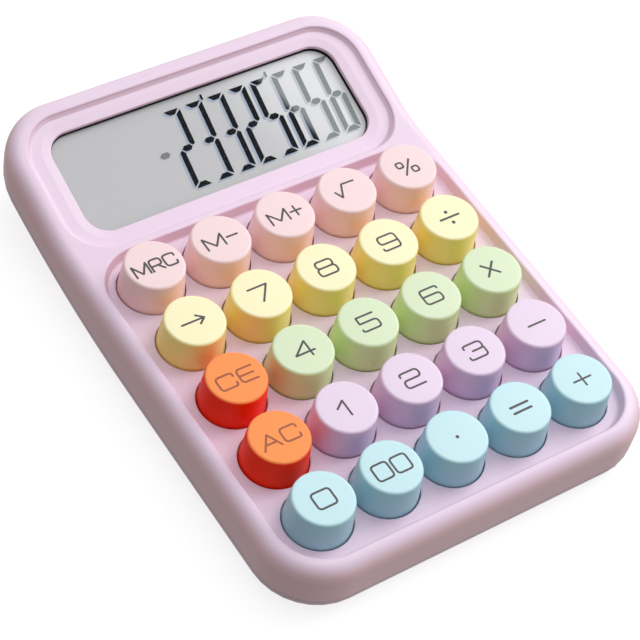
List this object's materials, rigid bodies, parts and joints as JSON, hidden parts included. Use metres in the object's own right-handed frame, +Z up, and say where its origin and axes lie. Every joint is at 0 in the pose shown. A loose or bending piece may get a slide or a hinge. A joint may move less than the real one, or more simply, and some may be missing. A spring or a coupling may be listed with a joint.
{
  "type": "desk calculator",
  "caption": "Desk calculator with round pressable keys in a sunken tray, a raised tilted display and a sliding battery cover underneath.",
  "frame": {"origin": "middle of the housing's outline, on the surface the rubber feet stand on", "axes": "+X to the user's right, +Y away from the user towards the display, +Z up"},
  "size_m": [0.11, 0.15, 0.0244],
  "materials": {
    "front_housing": "fine satin moulding, lilac pink",
    "rear_housing": "fine satin moulding, greyer lilac",
    "battery_cover": "fine satin moulding, greyer lilac",
    "key_pink": "satin, pale pink",
    "key_yellow": "satin, pale yellow",
    "key_green": "satin, pale green",
    "key_lilac": "satin, pale lilac",
    "key_blue": "satin, pale blue",
    "key_orange": "satin, orange",
    "display_lens": "clear acrylic window",
    "tape": "black double-sided foam tape",
    "lens_print": "black print under the window's border",
    "lcd_segment": "switched liquid crystal, near black",
    "legend_ink": "dark grey pad print",
    "polariser": "grey polariser film",
    "lcd_glass": "glass with printed contacts",
    "reflector": "grey polariser with reflector",
    "white_plastic": "moulded",
    "screw_steel": "zinc-plated",
    "flex_film": "amber film",
    "silicone": "translucent silicone",
    "circuit_board": "green solder mask",
    "epoxy": "black epoxy",
    "capacitor": "blue sleeve",
    "foot_rubber": "matte",
    "battery_sleeve": "plain unprinted sleeve",
    "contact_steel": "nickel-plated spring steel",
    "wire_red": "insulated wire",
    "wire_black": "insulated wire"
  },
  "bodies": {
    "housing": {"front_housing": "front_housing", "key_plate": "front_housing", "rear_housing": "rear_housing", "display_lens": "display_lens", "lens_tape": "tape", "front_polariser": "polariser", "lcd_glass": "lcd_glass", "rear_polariser": "reflector", "lcd_frame": "white_plastic", "lcd_screws": "screw_steel", "lcd_flex_cable": "flex_film", "dome_mat": "silicone", "main_board": "circuit_board", "controller_chip": "epoxy", "filter_capacitor": "capacitor", "resistors": "epoxy", "board_screws": "screw_steel", "housing_screws": "screw_steel", "rubber_feet": "foot_rubber", "battery": "battery_sleeve", "battery_contact_positive": "contact_steel", "battery_contact_negative": "contact_steel", "battery_wire_red": "wire_red", "battery_wire_black": "wire_black"},
    "key_memory_recall": {"keycap_memory_recall": "key_pink"},
    "key_memory_minus": {"keycap_memory_minus": "key_pink"},
    "key_memory_plus": {"keycap_memory_plus": "key_pink"},
    "key_square_root": {"keycap_square_root": "key_pink"},
    "key_percent": {"keycap_percent": "key_pink"},
    "key_backspace": {"keycap_backspace": "key_yellow"},
    "key_7": {"keycap_7": "key_yellow"},
    "key_8": {"keycap_8": "key_yellow"},
    "key_9": {"keycap_9": "key_yellow"},
    "key_divide": {"keycap_divide": "key_yellow"},
    "key_clear_entry": {"keycap_clear_entry": "key_orange"},
    "key_4": {"keycap_4": "key_green"},
    "key_5": {"keycap_5": "key_green"},
    "key_6": {"keycap_6": "key_green"},
    "key_multiply": {"keycap_multiply": "key_green"},
    "key_all_clear": {"keycap_all_clear": "key_orange"},
    "key_1": {"keycap_1": "key_lilac"},
    "key_2": {"keycap_2": "key_lilac"},
    "key_3": {"keycap_3": "key_lilac"},
    "key_minus": {"keycap_minus": "key_lilac"},
    "key_0": {"keycap_0": "key_blue"},
    "key_00": {"keycap_00": "key_blue"},
    "key_point": {"keycap_point": "key_blue"},
    "key_equals": {"keycap_equals": "key_blue"},
    "key_plus": {"keycap_plus": "key_blue"},
    "battery_cover": {"battery_cover": "battery_cover"}
  },
  "joints": [
    {"name": "press_memory_recall", "type": "slide", "parent": "housing", "child": "key_memory_recall", "axis": [0, 0, -1], "range_m": [0, 0.002], "stiffness_N_per_m": 300, "springref_m": -0.001, "deforming": ["dome_mat"]},
    {"name": "press_memory_minus", "type": "slide", "parent": "housing", "child": "key_memory_minus", "axis": [0, 0, -1], "range_m": [0, 0.002], "stiffness_N_per_m": 300, "springref_m": -0.001, "deforming": ["dome_mat"]},
    {"name": "press_memory_plus", "type": "slide", "parent": "housing", "child": "key_memory_plus", "axis": [0, 0, -1], "range_m": [0, 0.002], "stiffness_N_per_m": 300, "springref_m": -0.001, "deforming": ["dome_mat"]},
    {"name": "press_square_root", "type": "slide", "parent": "housing", "child": "key_square_root", "axis": [0, 0, -1], "range_m": [0, 0.002], "stiffness_N_per_m": 300, "springref_m": -0.001, "deforming": ["dome_mat"]},
    {"name": "press_percent", "type": "slide", "parent": "housing", "child": "key_percent", "axis": [0, 0, -1], "range_m": [0, 0.002], "stiffness_N_per_m": 300, "springref_m": -0.001, "deforming": ["dome_mat"]},
    {"name": "press_backspace", "type": "slide", "parent": "housing", "child": "key_backspace", "axis": [0, 0, -1], "range_m": [0, 0.002], "stiffness_N_per_m": 300, "springref_m": -0.001, "deforming": ["dome_mat"]},
    {"name": "press_7", "type": "slide", "parent": "housing", "child": "key_7", "axis": [0, 0, -1], "range_m": [0, 0.002], "stiffness_N_per_m": 300, "springref_m": -0.001, "deforming": ["dome_mat"]},
    {"name": "press_8", "type": "slide", "parent": "housing", "child": "key_8", "axis": [0, 0, -1], "range_m": [0, 0.002], "stiffness_N_per_m": 300, "springref_m": -0.001, "deforming": ["dome_mat"]},
    {"name": "press_9", "type": "slide", "parent": "housing", "child": "key_9", "axis": [0, 0, -1], "range_m": [0, 0.002], "stiffness_N_per_m": 300, "springref_m": -0.001, "deforming": ["dome_mat"]},
    {"name": "press_divide", "type": "slide", "parent": "housing", "child": "key_divide", "axis": [0, 0, -1], "range_m": [0, 0.002], "stiffness_N_per_m": 300, "springref_m": -0.001, "deforming": ["dome_mat"]},
    {"name": "press_clear_entry", "type": "slide", "parent": "housing", "child": "key_clear_entry", "axis": [0, 0, -1], "range_m": [0, 0.002], "stiffness_N_per_m": 300, "springref_m": -0.001, "deforming": ["dome_mat"]},
    {"name": "press_4", "type": "slide", "parent": "housing", "child": "key_4", "axis": [0, 0, -1], "range_m": [0, 0.002], "stiffness_N_per_m": 300, "springref_m": -0.001, "deforming": ["dome_mat"]},
    {"name": "press_5", "type": "slide", "parent": "housing", "child": "key_5", "axis": [0, 0, -1], "range_m": [0, 0.002], "stiffness_N_per_m": 300, "springref_m": -0.001, "deforming": ["dome_mat"]},
    {"name": "press_6", "type": "slide", "parent": "housing", "child": "key_6", "axis": [0, 0, -1], "range_m": [0, 0.002], "stiffness_N_per_m": 300, "springref_m": -0.001, "deforming": ["dome_mat"]},
    {"name": "press_multiply", "type": "slide", "parent": "housing", "child": "key_multiply", "axis": [0, 0, -1], "range_m": [0, 0.002], "stiffness_N_per_m": 300, "springref_m": -0.001, "deforming": ["dome_mat"]},
    {"name": "press_all_clear", "type": "slide", "parent": "housing", "child": "key_all_clear", "axis": [0, 0, -1], "range_m": [0, 0.002], "stiffness_N_per_m": 300, "springref_m": -0.001, "deforming": ["dome_mat"]},
    {"name": "press_1", "type": "slide", "parent": "housing", "child": "key_1", "axis": [0, 0, -1], "range_m": [0, 0.002], "stiffness_N_per_m": 300, "springref_m": -0.001, "deforming": ["dome_mat"]},
    {"name": "press_2", "type": "slide", "parent": "housing", "child": "key_2", "axis": [0, 0, -1], "range_m": [0, 0.002], "stiffness_N_per_m": 300, "springref_m": -0.001, "deforming": ["dome_mat"]},
    {"name": "press_3", "type": "slide", "parent": "housing", "child": "key_3", "axis": [0, 0, -1], "range_m": [0, 0.002], "stiffness_N_per_m": 300, "springref_m": -0.001, "deforming": ["dome_mat"]},
    {"name": "press_minus", "type": "slide", "parent": "housing", "child": "key_minus", "axis": [0, 0, -1], "range_m": [0, 0.002], "stiffness_N_per_m": 300, "springref_m": -0.001, "deforming": ["dome_mat"]},
    {"name": "press_0", "type": "slide", "parent": "housing", "child": "key_0", "axis": [0, 0, -1], "range_m": [0, 0.002], "stiffness_N_per_m": 300, "springref_m": -0.001, "deforming": ["dome_mat"]},
    {"name": "press_00", "type": "slide", "parent": "housing", "child": "key_00", "axis": [0, 0, -1], "range_m": [0, 0.002], "stiffness_N_per_m": 300, "springref_m": -0.001, "deforming": ["dome_mat"]},
    {"name": "press_point", "type": "slide", "parent": "housing", "child": "key_point", "axis": [0, 0, -1], "range_m": [0, 0.002], "stiffness_N_per_m": 300, "springref_m": -0.001, "deforming": ["dome_mat"]},
    {"name": "press_equals", "type": "slide", "parent": "housing", "child": "key_equals", "axis": [0, 0, -1], "range_m": [0, 0.002], "stiffness_N_per_m": 300, "springref_m": -0.001, "deforming": ["dome_mat"]},
    {"name": "press_plus", "type": "slide", "parent": "housing", "child": "key_plus", "axis": [0, 0, -1], "range_m": [0, 0.002], "stiffness_N_per_m": 300, "springref_m": -0.001, "deforming": ["dome_mat"]},
    {"name": "slide_battery_cover", "type": "slide", "parent": "housing", "child": "battery_cover", "axis": [0, 1, 0], "range_m": [0, 0.015]}
  ]
}
